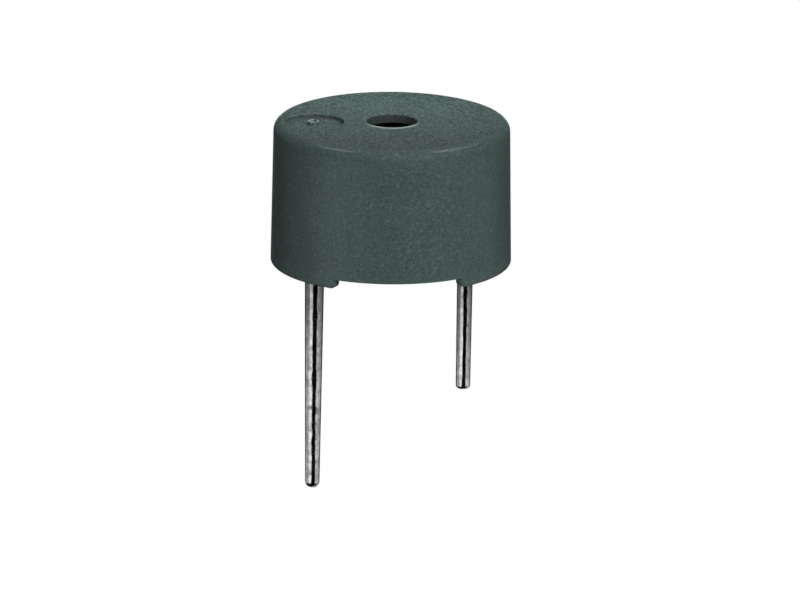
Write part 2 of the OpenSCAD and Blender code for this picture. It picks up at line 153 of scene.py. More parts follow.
def blend(flow, share, first, second):
    return flow.node("ShaderNodeMix", {"data_type": "RGBA"}, {0: share, 6: first, 7: second}, output=2)


def dress(flow, shader, colour, roughness, height, depth, strength):
    bump = flow.node("ShaderNodeBump", {}, {"Height": height, "Distance": depth, "Strength": strength})
    flow.tree.links.new(colour.link, shader.inputs["Base Color"])
    flow.tree.links.new(roughness.link, shader.inputs["Roughness"])
    flow.tree.links.new(bump.link, shader.inputs["Normal"])


def window(flow, value, span, edge):  # 1 inside the span, 0 outside, with soft edges
    rise = flow.node("ShaderNodeMapRange", {"interpolation_type": "SMOOTHSTEP"},
                     {0: value, 1: span[0] - edge, 2: span[0] + edge, 3: 0.0, 4: 1.0})
    fall = flow.node("ShaderNodeMapRange", {"interpolation_type": "SMOOTHSTEP"},
                     {0: value, 1: span[1] - edge, 2: span[1] + edge, 3: 1.0, 4: 0.0})
    return rise * fall


def axisDistance(flow, place, x=0.0, y=0.0):  # from the upright line through x, y
    flat = flow.node("ShaderNodeVectorMath", {"operation": "MULTIPLY_ADD"},
                     {0: place, 1: (1, 1, 0), 2: (-x, -y, 0)})
    return flow.node("ShaderNodeVectorMath", {"operation": "LENGTH"}, {0: flat}, output=1)


def xyz(flow, place):
    return [flow.node("ShaderNodeSeparateXYZ", {}, {0: place}, output=axis) for axis in range(3)]


def heightOf(flow, place):
    return flow.node("ShaderNodeSeparateXYZ", {}, {0: place}, output=2)


casePlasticFinish = {
    # the pale tone serves painted highlights and the stub's whitening
    "dark": (0.028, 0.047, 0.044, 1), "light": (0.081, 0.124, 0.116, 1), "worn": (0.30, 0.36, 0.35, 1),
    # the dark tone of painted shade
    "paintedShade": (0.022, 0.023, 0.024, 1), "specular": 0.3,
    "grain": {"scale": 9500, "detail": 2.5, "roughness": 0.6}, "grainRange": (0.34, 0.66),
    "fleck": {"scale": 6200, "detail": 1.0}, "fleckRange": (0.56, 0.74),
    "mottle": {"scale": 420, "detail": 4.0}, "cloud": {"scale": 90, "detail": 2.0},
    "toneShares": {"grain": 0.5, "fleck": 0.5, "mottle": 0.2, "cloud": 0.15},
    # painted bounce light: how far up the side and how much paler
    "footBounceSpan": (0.1 * mm, 0.9 * mm), "footBounceLight": 0.12,
    "topGrain": {"scale": 8800, "detail": 1.5}, "topStretch": (1, 0.65, 1), "topRange": (0.38, 0.68),
    "topContrast": 2.3, "topShift": 0.75, "topBlend": 0.1 * mm,
    "floorSpan": (gateFloor - 0.06 * mm, gateFloor - 0.02 * mm),
    # painted highlight on the front of the hole's lip
    "lipRadius": 1.38 * mm, "lipShift": 0.18 * mm, "lipHighlight": 0.9, "lipSpan": (topZ - 0.12 * mm, topZ - 0.06 * mm),
    "lipFront": (-0.5 * mm, -1.15 * mm), "lipBack": 0.1,
    # the top's edge band: smoother, and paler by a painted highlight on two arcs
    "edge": (topZ - 0.165 * mm, topZ - 0.085 * mm), "edgeRadius": 5.42 * mm, "edgeSoftness": 0.02 * mm,
    "edgeRough": 0.5, "edgeHighlight": 0.1, "highlightArcs": (1.6 * mm, 3.9 * mm), "highlightArcSoftness": 0.3 * mm,
    "stubWhiteningAndHighlight": 0.0, "crownSpan": (stubTop - 0.06 * mm, stubTop - 0.01 * mm),
    "tear": {"scale": 3600, "detail": 0.0}, "tearRange": (0.42, 0.58), "tearLow": 0.25,
    # painted shade inside the sound hole, below the top
    "shadeSpan": (topZ - 0.05 * mm, topZ - 0.015 * mm), "shadeRadius": 1.29 * mm, "shadeShare": 0.7,
    # painted shade along the wall of the gate's recess
    "gateShade": (1.2 * mm, 1.49 * mm), "gateShadeSoftness": 0.08 * mm, "gateShadeShare": 0.45,
    "roughMix": (0.6, 0.4), "roughRange": (0.3, 0.7), "topRough": (0.6, 0.8), "sideRough": (0.34, 0.5),
    "sideTop": (topZ - 0.9 * mm, topZ - 0.4 * mm),
    "bumpMix": (0.7, 0.3), "grainDepth": 0.02 * mm, "grainStrength": 0.6,
}
stubFinish = {**casePlasticFinish, "stubWhiteningAndHighlight": 1.0}  # the torn stub is whitened along its top, which also stands as a painted highlight on its crown


def casePlastic(name, finish):
    material, shader, flow, place = startMaterial(name)
    aside, forward, up = xyz(flow, place)
    fromAxis = axisDistance(flow, place)
    soft, edgeRadius = finish["edgeSoftness"], finish["edgeRadius"]
    grain, mottle, cloud = (noise(flow, place, **finish[kind]) for kind in ("grain", "mottle", "cloud"))
    aboveFloor = ranged(flow, up, *finish["floorSpan"])  # from the gate's floor up
    onTop = aboveFloor * ranged(flow, fromAxis, edgeRadius, edgeRadius - finish["topBlend"])
    topGrain = noise(flow, stretched(flow, place, finish["topStretch"]), **finish["topGrain"])
    topGrain = finish["topContrast"] * ranged(flow, topGrain, *finish["topRange"]) - finish["topShift"]
    fleck = ranged(flow, noise(flow, place, **finish["fleck"]), *finish["fleckRange"])
    fleck = fleck + onTop * (topGrain - fleck)  # the top's texture is coarser
    shares = finish["toneShares"]
    tone = (shares["grain"] * ranged(flow, grain, *finish["grainRange"]) + shares["fleck"] * fleck
            + shares["mottle"] * mottle + shares["cloud"] * cloud)
    tone = tone + ranged(flow, up, *finish["footBounceSpan"], finish["footBounceLight"], 0.0)  # painted bounce light: paler towards the foot
    colour = blend(flow, tone, finish["dark"], finish["light"])
    lip = axisDistance(flow, place, 0.0, -finish["lipShift"])  # painted highlight: a pale crescent on the front of the hole's lip
    lip = ranged(flow, lip, finish["lipRadius"] + soft, finish["lipRadius"]) * ranged(flow, up, *finish["lipSpan"])
    lip = lip * ranged(flow, forward, *finish["lipFront"], finish["lipBack"], 1.0)
    edge = window(flow, up, finish["edge"], soft) * ranged(flow, fromAxis, edgeRadius, edgeRadius + soft)
    arcBand = window(flow, flow.maths("ABSOLUTE", aside), finish["highlightArcs"], finish["highlightArcSoftness"])
    edge = edge * arcBand  # the band keeps to where the edge's highlight arcs fall: smoother there, and paler by a painted highlight
    # the stub's torn crown is paler: whitening, and a painted highlight
    crown = ranged(flow, up, *finish["crownSpan"], 0.0, finish["stubWhiteningAndHighlight"])
    torn = noise(flow, place, **finish["tear"])
    crown = crown * ranged(flow, torn, *finish["tearRange"], finish["tearLow"], 1.0)
    # the pale share: painted highlights on the hole's lip and the top's edge, with the stub's whitening
    highlightAndWhitening = finish["lipHighlight"] * lip + finish["edgeHighlight"] * edge + crown
    colour = blend(flow, highlightAndWhitening, colour, finish["worn"])
    below = ranged(flow, up, *finish["shadeSpan"], 1.0, 0.0)  # painted shade keeps off the flat of the top
    # painted shade darkens the inside of the sound hole
    paintedShade = ranged(flow, fromAxis, finish["shadeRadius"], finish["shadeRadius"] - soft, 0.0, finish["shadeShare"])
    colour = blend(flow, paintedShade * below, colour, finish["paintedShade"])
    # painted shade along the wall of the gate's recess
    gateShade = window(flow, axisDistance(flow, place, gateX), finish["gateShade"], finish["gateShadeSoftness"])
    colour = blend(flow, finish["gateShadeShare"] * gateShade * below * aboveFloor, colour, finish["paintedShade"])
    uneven = finish["roughMix"][0] * grain + finish["roughMix"][1] * mottle
    topRough = ranged(flow, uneven, *finish["roughRange"], *finish["topRough"])
    sideRough = ranged(flow, uneven, *finish["roughRange"], *finish["sideRough"])
    onSide = ranged(flow, up, *finish["sideTop"], 1.0, 0.0)  # the side is smoother than the top
    roughness = topRough + onSide * (sideRough - topRough) - finish["edgeRough"] * edge
    height = finish["bumpMix"][0] * grain + finish["bumpMix"][1] * fleck
    dress(flow, shader, colour, roughness, height, finish["grainDepth"], finish["grainStrength"])
    shader.inputs["Specular IOR Level"].default_value = finish["specular"]
    return material


tinnedWireFinish = {
    # the dark tone of painted reflections on the leads
    "dull": (0.31, 0.31, 0.31, 1), "bright": (0.84, 0.84, 0.83, 1), "darkReflection": (0.035, 0.047, 0.045, 1),
    "streak": {"scale": 9000, "detail": 3.0}, "streakStretch": (1, 1, 0.12),
    "mottle": {"scale": 3200, "detail": 3.0}, "wave": {"scale": 2200, "detail": 0.0},
    "toneMix": (0.4, 0.6), "toneRange": (0.3, 0.7), "rough": (0.2, 0.08),
    "reflectionSpan": (-6.5 * mm, 0.3 * mm), "reflectionShare": 0.96, "reflectionFacing": (0.06, 0.17, 0.1, 1.0),
    "rootSpan": (-4.2 * mm, -0.1 * mm), "rootShare": 0.62,
    "bumpMix": (0.01, 0.04, 0.8), "depth": 0.05 * mm, "strength": 0.8,
}


def tinnedWire(name, finish):  # the leads' flanks are painted dark by how they face, and their roots in the case's dark green, as painted reflections
    material, shader, flow, place = startMaterial(name)
    streak = noise(flow, stretched(flow, place, finish["streakStretch"]), **finish["streak"])
    mottle, wave = (noise(flow, place, **finish[kind]) for kind in ("mottle", "wave"))
    tone = ranged(flow, finish["toneMix"][0] * streak + finish["toneMix"][1] * mottle, *finish["toneRange"])
    colour = blend(flow, tone, finish["dull"], finish["bright"])
    up = heightOf(flow, place)
    facing = flow.node("ShaderNodeLayerWeight", output="Facing")
    # painted reflection: the flanks darkened by how they face
    darkReflection = ranged(flow, up, *finish["reflectionSpan"], 0.0, finish["reflectionShare"])
    darkReflection = darkReflection * ranged(flow, facing, *finish["reflectionFacing"])
    # painted reflection of the case, stronger towards the roots
    root = ranged(flow, up, *finish["rootSpan"], 0.0, finish["rootShare"])
    colour = blend(flow, flow.maths("MAXIMUM", darkReflection, root), colour, finish["darkReflection"])
    roughness = ranged(flow, mottle, *finish["toneRange"], *finish["rough"])
    streakBump, mottleBump, waveBump = finish["bumpMix"]
    height = streakBump * streak + mottleBump * mottle + waveBump * wave
    dress(flow, shader, colour, roughness, height, finish["depth"], finish["strength"])
    shader.inputs["Metallic"].default_value = 1.0
    return material


# Each finish: two tones, metal or not, roughness range, grain scale and stretch, grain depth
plainFinishes = {
    "resin": {"tones": ((0.006, 0.006, 0.007, 1), (0.016, 0.016, 0.017, 1)), "metal": 0,
              "rough": (0.1, 0.28), "scale": 700, "stretch": (1, 1, 1), "depth": 0.02 * mm},
    "board_laminate": {"tones": ((0.14, 0.075, 0.03, 1), (0.27, 0.17, 0.075, 1)), "metal": 0,
                       "rough": (0.45, 0.7), "scale": 2600, "stretch": (1, 0.25, 1), "depth": 0.006 * mm},
    "copper": {"tones": ((0.5, 0.2, 0.09, 1), (0.8, 0.4, 0.22, 1)), "metal": 1,
               "rough": (0.25, 0.5), "scale": 4000, "stretch": (1, 0.15, 1), "depth": 0.003 * mm},
    "solder": {"tones": ((0.42, 0.42, 0.42, 1), (0.7, 0.7, 0.69, 1)), "metal": 1,
               "rough": (0.2, 0.45), "scale": 3500, "stretch": (1, 1, 1), "depth": 0.008 * mm},
    "moulded_black": {"tones": ((0.01, 0.01, 0.011, 1), (0.03, 0.03, 0.031, 1)), "metal": 0,
                      "rough": (0.5, 0.75), "scale": 9000, "stretch": (1, 1, 1), "depth": 0.006 * mm},
    "plated_tin": {"tones": ((0.45, 0.45, 0.44, 1), (0.75, 0.75, 0.73, 1)), "metal": 1,
                   "rough": (0.2, 0.45), "scale": 5000, "stretch": (1, 1, 0.3), "depth": 0.004 * mm},
    "resistor_black": {"tones": ((0.008, 0.008, 0.009, 1), (0.035, 0.035, 0.036, 1)), "metal": 0,
                       "rough": (0.25, 0.5), "scale": 7000, "stretch": (1, 1, 1), "depth": 0.004 * mm},
    "brass_sheet": {"tones": ((0.45, 0.28, 0.07, 1), (0.72, 0.5, 0.18, 1)), "metal": 1,
                    "rough": (0.22, 0.42), "scale": 5000, "stretch": (1, 0.06, 1), "depth": 0.003 * mm},
    "piezo_ceramic": {"tones": ((0.5, 0.45, 0.34, 1), (0.72, 0.67, 0.55, 1)), "metal": 0,
                      "rough": (0.55, 0.8), "scale": 8000, "stretch": (1, 1, 1), "depth": 0.004 * mm},
    "silver_film": {"tones": ((0.55, 0.54, 0.52, 1), (0.82, 0.81, 0.79, 1)), "metal": 1,
                    "rough": (0.35, 0.6), "scale": 6000, "stretch": (1, 1, 1), "depth": 0.003 * mm},
    "silicone": {"tones": ((0.62, 0.62, 0.59, 1), (0.8, 0.8, 0.77, 1)), "metal": 0,
                 "rough": (0.25, 0.45), "scale": 1500, "stretch": (1, 1, 1), "depth": 0.01 * mm},
    "red_wire": {"tones": ((0.3, 0.012, 0.01, 1), (0.5, 0.03, 0.02, 1)), "metal": 0,
                 "rough": (0.3, 0.5), "scale": 3000, "stretch": (1, 1, 0.3), "depth": 0.004 * mm},
    "black_wire": {"tones": ((0.006, 0.006, 0.006, 1), (0.02, 0.02, 0.02, 1)), "metal": 0,
                   "rough": (0.3, 0.5), "scale": 3000, "stretch": (1, 1, 0.3), "depth": 0.004 * mm},
    "blue_wire": {"tones": ((0.01, 0.025, 0.2, 1), (0.03, 0.06, 0.36, 1)), "metal": 0,
                  "rough": (0.3, 0.5), "scale": 3000, "stretch": (1, 1, 0.3), "depth": 0.004 * mm},
}
# What the plain finishes share: clouds are so many times wider than the grain
plainLook = {"grainDetail": 3.0, "cloudDetail": 2.0, "cloudWidth": 8, "toneMix": (0.6, 0.4), "toneRange": (0.3, 0.7),
             "strength": 0.4}


def plainMaterial(name, finish):
    material, shader, flow, place = startMaterial(name)
    grain = noise(flow, stretched(flow, place, finish["stretch"]), finish["scale"], plainLook["grainDetail"])
    cloud = noise(flow, place, finish["scale"] / plainLook["cloudWidth"], plainLook["cloudDetail"])
    tone = ranged(flow, plainLook["toneMix"][0] * grain + plainLook["toneMix"][1] * cloud, *plainLook["toneRange"])
    colour = blend(flow, tone, *finish["tones"])
    roughness = ranged(flow, cloud, *plainLook["toneRange"], *finish["rough"])
    dress(flow, shader, colour, roughness, grain, finish["depth"], plainLook["strength"])
    shader.inputs["Metallic"].default_value = float(finish["metal"])
    return material


materials = {slot: plainMaterial(slot, finish) for slot, finish in plainFinishes.items()}
materials["case_plastic"] = casePlastic("case_plastic", casePlasticFinish)
materials["tinned_wire"] = tinnedWire("tinned_wire", tinnedWireFinish)
stubPlastic = casePlastic("stub_plastic", stubFinish)
print("materials made:", len(materials) + 1)


def newTree(name, settings):  # a named input for each size; the numbers under "mesh" go in as they are
    tree = bpy.data.node_groups.new(name, "GeometryNodeTree")
    tree.interface.new_socket("mesh", in_out="OUTPUT", socket_type="NodeSocketGeometry")
    labels = [label for label in settings if label != "mesh"]
    for label in labels:
        kind = "NodeSocketInt" if isinstance(settings[label], int) else "NodeSocketFloat"
        tree.interface.new_socket(label, in_out="INPUT", socket_type=kind)
    given = tree.nodes.new("NodeGroupInput")
    return tree, Flow(tree), {label: Flow(tree, given.outputs[label]) for label in labels}, settings["mesh"]


def endTree(tree, result, material):
    flow = Flow(tree)
    result = flow.node("GeometryNodeRealizeInstances", {}, {"Geometry": result})
    result = flow.node("GeometryNodeSetShadeSmooth", {}, {"Geometry": result})
    result = flow.node("GeometryNodeSetMaterial", {}, {"Geometry": result, "Material": material})
    tree.links.new(result.link, tree.nodes.new("NodeGroupOutput").inputs[0])
    return tree


def grow(name, tree, settings):
    piece = bpy.data.objects.new(name, bpy.data.meshes.new(name))
    scene.collection.objects.link(piece)
    modifier = piece.modifiers.new("grow", "NODES")
    modifier.node_group = tree
    for item in tree.interface.items_tree:
        if item.in_out == "INPUT":
            modifier[item.identifier] = settings[item.name]
    depsgraph = bpy.context.evaluated_depsgraph_get()
    mesh = bpy.data.meshes.new_from_object(
        piece.evaluated_get(depsgraph), preserve_all_data_layers=True, depsgraph=depsgraph)
    piece.modifiers.clear()
    piece.data = mesh
    mesh.name = name
    mesh.set_sharp_from_angle(angle=math.radians(settings["mesh"]["sharpAngle"]))
    print(name, "grown:", len(mesh.vertices), "points,", len(mesh.polygons), "faces")
    return piece


def outline(flow, corners, arcSteps, closed, rowStep=0.0):  # corners: across, up and radius of each
    count = len(corners)
    index = flow.node("GeometryNodeInputIndex")
    line = flow.node("GeometryNodeCurvePrimitiveLine")
    curve = flow.node("GeometryNodeResampleCurve", {}, {"Curve": line, "Count": count})
    places = [flow.node("ShaderNodeCombineXYZ", {}, {0: across, 1: up}) for across, up, _ in corners]
    place = flow.node("GeometryNodeIndexSwitch", {"data_type": "VECTOR", "items": count},
                      {0: index, **{i + 1: at for i, at in enumerate(places)}})
    radius = flow.node("GeometryNodeIndexSwitch", {"data_type": "FLOAT", "items": count},
                       {0: index, **{i + 1: corner[2] for i, corner in enumerate(corners)}})
    curve = flow.node("GeometryNodeSetPosition", {}, {"Geometry": curve, "Position": place})
    curve = flow.node("GeometryNodeSetSplineCyclic", {}, {"Geometry": curve, "Cyclic": closed})
    curve = flow.node("GeometryNodeFilletCurve", {"mode": "POLY"},
                      {"Curve": curve, "Count": arcSteps, "Radius": radius})
    if rowStep:  # rows along the straight stretches, so that shading stays flat beside the rounds
        here = flow.node("GeometryNodeInputPosition")
        beside = flow.node("GeometryNodeFieldAtIndex", {"data_type": "FLOAT_VECTOR"},
                           {"Value": here, "Index": index + 1.0})
        gap = flow.node("ShaderNodeVectorMath", {"operation": "DISTANCE"}, {0: here, 1: beside}, output=1)
        curve = flow.node("GeometryNodeSubdivideCurve", {}, {"Curve": curve, "Cuts": gap / rowStep})
    return curve


def lathe(flow, corners, columns, arcSteps, closed, rowStep=0.0):  # corners: radius, height and round of each
    section = [(radius - ringRadius, -1.0 * height, bend) for radius, height, bend in corners]
    section = outline(flow, section, arcSteps, closed, rowStep)
    ring = flow.node("GeometryNodeCurvePrimitiveCircle", {}, {"Resolution": columns, "Radius": ringRadius})
    ring = flow.node("GeometryNodeSetCurveNormal", {"mode": "Z_UP"}, {"Curve": ring})
    swept = flow.node("GeometryNodeCurveToMesh", {}, {"Curve": ring, "Profile Curve": section})
    swept = flow.node("GeometryNodeFlipFaces", {}, {"Mesh": swept})
    return flow.node("GeometryNodeMergeByDistance", {}, {"Geometry": swept, "Distance": weld})


def shifted(flow, mesh, offset):
    return flow.node("GeometryNodeSetPosition", {}, {"Geometry": mesh, "Offset": offset})


def moved(flow, mesh, x, y, z):
    offset = flow.node("ShaderNodeCombineXYZ", {}, {0: x, 1: y, 2: z})
    return flow.node("GeometryNodeTransform", {}, {"Geometry": mesh, "Translation": offset})


def cut(flow, mesh, cutter):
    return flow.node("GeometryNodeMeshBoolean", {"operation": "DIFFERENCE", "solver": "MANIFOLD"},
                     {0: mesh, 1: cutter})


def ventEnd(flow, at, mesh, side, turn):  # cutter for one end of a gap, which lies towards side * X of the foot's end
    reach, flare = at["ventHalf"] + mesh["ventOverrun"], mesh["ventFlare"] * at["footEndRound"]
    corners = [
        (reach, clear, 0.0),
        (reach, -1.0 * at["ventHeight"], 0.0),
        (0.0, -1.0 * at["ventHeight"], at["ventRoofRound"]),
        (0.0, skim, at["footEndRound"]),
        (-1.0 * flare, skim, 0.0),
        (-1.0 * flare, clear, 0.0),
    ]
    if side < 0:
        corners = [(-1.0 * across, up, bend) for across, up, bend in reversed(corners)]
    profile = outline(flow, corners, mesh["ventArcSteps"], True)
    start, end = (flow.node("ShaderNodeCombineXYZ", {}, {1: share * at["footRadius"]}) for share in mesh["ventSpan"])
    path = flow.node("GeometryNodeCurvePrimitiveLine", {}, {"Start": start, "End": end})
    path = flow.node("GeometryNodeResampleCurve", {}, {"Curve": path, "Count": mesh["ventRows"]})
    path = flow.node("GeometryNodeSetCurveNormal", {"mode": "Z_UP"}, {"Curve": path})
    prism = flow.node("GeometryNodeCurveToMesh", {}, {"Curve": path, "Profile Curve": profile, "Fill Caps": True})
    prism = flow.node("GeometryNodeFlipFaces", {}, {"Mesh": prism})
    x, y, _ = xyz(flow, flow.node("GeometryNodeInputPosition"))
    depth = flow.maths("MAXIMUM", y - at["footRadius"] + at["footCorner"], 0.0)
    depth = flow.maths("MINIMUM", depth, at["footCorner"])
    give = at["footCorner"] - flow.maths("SQRT", at["footCorner"] * at["footCorner"] - depth * depth)
    atEnd = flow.maths("LESS_THAN", side * x, 0.5 * reach)
    offset = flow.node("ShaderNodeCombineXYZ", {}, {0: -side * give * atEnd})  # rounds the foot's upright edge
    rotation = flow.node("ShaderNodeCombineXYZ", {}, {2: side * at["ventAngle"] + turn})
    return flow.node("GeometryNodeTransform", {}, {"Geometry": shifted(flow, prism, offset), "Rotation": rotation})


def caseTree(settings):
    tree, flow, at, mesh = newTree("caseShell", settings)
    ceiling = at["height"] - at["topWall"]
    shell = lathe(flow, [
        (at["boreRadius"], 0.0, 0.0),
        (at["footRadius"], 0.0, at["footEdge"]),
        (at["topRadius"], at["height"], at["topEdge"]),
        (at["holeRadius"], at["height"], at["holeLip"]),
        (at["holeRadius"], ceiling, 0.0),
        (at["chamberRadius"], ceiling, 0.0),
        (at["chamberRadius"], at["plateTop"], 0.0),
        (at["waistRadius"], at["plateTop"], 0.0),
        (at["waistRadius"], at["boardTop"], 0.0),
        (at["boreRadius"], at["boardTop"], 0.0),
    ], at["columns"], mesh["arcSteps"], True, mesh["rowStep"])
    gateWide, gateTop = at["gateRadius"] * mesh["gateFlare"], at["height"] + clear
    gate = lathe(flow, [
        (0.0, at["height"] - at["gateDepth"], 0.0),
        (at["gateRadius"], at["height"] - at["gateDepth"], at["gateFloorRound"]),
        (at["gateRadius"], at["height"] + skim, at["gateRim"]),
        (gateWide, at["height"] + skim, 0.0),
        (gateWide, gateTop, 0.0),
        (0.0, gateTop, 0.0),
    ], mesh["gateColumns"], mesh["gateArcSteps"], False)
    shell = cut(flow, shell, moved(flow, gate, gateX, 0.0, 0.0))
    for side, turn in ((1, 0), (-1, 0), (1, math.pi), (-1, math.pi)):
        shell = cut(flow, shell, ventEnd(flow, at, mesh, side, turn))
    return endTree(tree, shell, materials["case_plastic"])


caseShell = grow("caseShell", caseTree(caseSettings), caseSettings)
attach(caseShell, "root")
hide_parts("case")

stubSettings = {
    "x": gateX - 0.05 * mm, "y": 0.2 * mm, "floor": gateFloor, "top": stubTop, "footRadius": 0.33 * mm,
    "crownRadius": 0.24 * mm, "pitRadius": 0.15 * mm, "pitDepth": 0.07 * mm, "rough": 0.07 * mm, "columns": 72,
    "mesh": {"shoulder": 1.15, "brim": 0.85, "crownRound": 0.02 * mm, "pitRound": 0.03 * mm, "arcSteps": 5,
             "rowStep": 0.02 * mm, "sharpAngle": 40, "tear": {"scale": 6500, "detail": 2.0},
             "tearMiddle": (0.5, 0.5, 0.62)},
}


def stubTree(settings):  # what was left where the moulding broke off its feed: a low cone with a torn crown
    tree, flow, at, mesh = newTree("gateStub", settings)
    pitFloor = at["top"] - at["pitDepth"]
    stub = lathe(flow, [
        (0.0, at["floor"] - skim, 0.0),
        (at["footRadius"], at["floor"] - skim, 0.0),
        (at["crownRadius"] * mesh["shoulder"], at["top"] - mesh["crownRound"], mesh["crownRound"]),
        (at["crownRadius"] * mesh["brim"], at["top"], mesh["crownRound"]),
        (at["pitRadius"], pitFloor, mesh["pitRound"]),
        (0.0, pitFloor, 0.0),
    ], at["columns"], mesh["arcSteps"], False, mesh["rowStep"])
    here = flow.node("GeometryNodeInputPosition")
    torn = noise(flow, here, **mesh["tear"], output=1)
    torn = flow.node("ShaderNodeVectorMath", {"operation": "SUBTRACT"}, {0: torn, 1: mesh["tearMiddle"]})
    share = ranged(flow, heightOf(flow, here), at["floor"], at["top"], 0.0, at["rough"])
    offset = flow.node("ShaderNodeVectorMath", {"operation": "SCALE"}, {0: torn, "Scale": share})
    return endTree(tree, moved(flow, shifted(flow, stub, offset), at["x"], at["y"], 0.0), stubPlastic)


gateStub = grow("gateStub", stubTree(stubSettings), stubSettings)
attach(gateStub, "root")
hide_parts("case")

positiveLow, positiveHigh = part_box("positive_lead")
negativeLow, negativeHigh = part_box("negative_lead")
leadSettings = {
    "collarRadius": 0.6 * mm, "collarFoot": 0.83 * mm, "boardFoot": boardLow.z, "tailRadius": 0.22 * mm,
    "tailRound": 0.4, "tailTop": positiveHigh.z, "waver": 0.008 * mm, "columns": 96,
    "mesh": {"arcSteps": 12, "rowStep": 0.25 * mm, "sharpAngle": 40, "drift": {"scale": 320, "detail": 1.0}},
}
positiveSettings = {
    **leadSettings, "x": (positiveLow.x + positiveHigh.x) / 2 - 0.05 * mm, "lean": 0.0054, "tip": positiveLow.z,
    "tipRound": 0.9, "rootRadius": 0.505 * mm, "tipRadius": 0.36 * mm,
}
negativeSettings = {
    **leadSettings, "x": (negativeLow.x + negativeHigh.x) / 2 - 0.024 * mm, "lean": 0.007, "tip": negativeLow.z,
    "tipRound": 0.5, "rootRadius": 0.404 * mm, "tipRadius": 0.364 * mm,
}


def leadTree(settings):  # one tree for both leads, which differ in their inputs
    tree, flow, at, mesh = newTree("lead", settings)
    pin = lathe(flow, [
        (0.0, at["tip"], 0.0),
        (at["tipRadius"], at["tip"], at["tipRadius"] * at["tipRound"]),
        (at["rootRadius"], at["collarFoot"], 0.0),
        (at["collarRadius"], at["collarFoot"], 0.0),
        (at["collarRadius"], at["boardFoot"], 0.0),
        (at["tailRadius"], at["boardFoot"], 0.0),
        (at["tailRadius"], at["tailTop"], at["tailRadius"] * at["tailRound"]),
        (0.0, at["tailTop"], 0.0),
    ], at["columns"], mesh["arcSteps"], False, mesh["rowStep"])
    height = heightOf(flow, flow.node("GeometryNodeInputPosition"))
    line = flow.node("ShaderNodeCombineXYZ", {}, {0: at["x"], 2: height})
    drift = noise(flow, line, **mesh["drift"]) - 0.5
    sway = drift * at["waver"] + at["lean"] * flow.maths("MINIMUM", height, 0.0)
    pin = shifted(flow, pin, flow.node("ShaderNodeCombineXYZ", {}, {0: sway}))
    return endTree(tree, moved(flow, pin, at["x"], 0.0, 0.0), materials["tinned_wire"])


leadShape = leadTree(positiveSettings)
for leadName, nodeName, settings in (("positivePin", "positive_lead", positiveSettings),
                                     ("negativePin", "negative_lead", negativeSettings)):
    pin = grow(leadName, leadShape, settings)
    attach(pin, "root")
    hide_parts(nodeName)

resinSettings = {
    "radius": caseSettings["boreRadius"], "face": 0.75 * mm, "top": boardLow.z, "meniscus": 0.2 * mm,
    "positiveX": positiveSettings["x"], "negativeX": negativeSettings["x"], "leadRadius": 0.42 * mm,
    "ripple": 0.014 * mm, "columns": 240,
    "mesh": {"arcSteps": 1, "rowStep": 0.06 * mm, "sharpAngle": 60, "ripple": {"scale": 450, "detail": 2.0}},
}


def resinTree(settings):  # a poured disc that creeps along the skirt and the leads
    tree, flow, at, mesh = newTree("resinFill", settings)
    disc = lathe(flow, [
        (0.0, at["face"], 0.0),
        (at["radius"], at["face"], 0.0),
        (at["radius"], at["top"], 0.0),
        (0.0, at["top"], 0.0),
    ], at["columns"], mesh["arcSteps"], False, mesh["rowStep"])
    here = flow.node("GeometryNodeInputPosition")
    x, y, z = xyz(flow, here)

    def creep(gap):  # a quarter round against the wall that lies gap away
        far = flow.maths("MAXIMUM", at["meniscus"] - flow.maths("MAXIMUM", gap, 0.0), 0.0)
        return at["meniscus"] - flow.maths("SQRT", at["meniscus"] * at["meniscus"] - far * far)

    def away(fromX):
        return flow.maths("SQRT", (x - fromX) * (x - fromX) + y * y)

    drop = creep(at["radius"] - away(0.0))
    for lead in ("positiveX", "negativeX"):
        drop = flow.maths("MAXIMUM", drop, creep(away(at[lead]) - at["leadRadius"]))
    ripple = (noise(flow, here, **mesh["ripple"]) - 0.5) * at["ripple"]
    below = flow.maths("LESS_THAN", z, at["face"] + skim)
    offset = flow.node("ShaderNodeCombineXYZ", {}, {2: below * (ripple - drop)})
    return endTree(tree, shifted(flow, disc, offset), materials["resin"])


resinFill = grow("resinFill", resinTree(resinSettings), resinSettings)
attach(resinFill, "root")
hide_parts("resin_seal")

innerSlots = {
    "circuit_board": "board_laminate", "copper_tracks": "copper", "lead_solder": "solder",
    "drive_transistor": "moulded_black", "transistor_legs": "plated_tin", "load_resistor": "resistor_black",
    "bias_resistor": "resistor_black", "feedback_resistor": "resistor_black", "resistor_end_caps": "plated_tin",
    "diaphragm_plate": "brass_sheet", "piezo_disc": "piezo_ceramic", "main_electrode": "silver_film",
    "feedback_electrode": "silver_film", "diaphragm_bond": "silicone", "drive_wire": "red_wire",
    "ground_wire": "black_wire", "feedback_wire": "blue_wire", "board_wire_solder": "solder",
    "diaphragm_wire_solder": "solder",
}
for nodeName, slot in innerSlots.items():
    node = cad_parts[nodeName]
    node.data.materials.clear()
    node.data.materials.append(materials[slot])
print("inner nodes dressed:", len(innerSlots))

# The middle of the case's axis shows at axisPixel; angles in degrees
cameraSettings = {
    "distance": 400 * mm, "elevation": 15.8, "azimuth": -4.2, "roll": 0.5, "pixelsPerMm": 20.1,
    "axisHeight": 3.6 * mm, "axisPixel": (391.39, 190.18), "image": (800, 600), "sensor": 36, "clip": (10 * mm, 10),
}


def heading(azimuth, elevation):  # direction from the object, azimuth 0 is towards -Y
    a, e = math.radians(azimuth), math.radians(elevation)
    return Vector((math.sin(a) * math.cos(e), -math.cos(a) * math.cos(e), math.sin(e)))


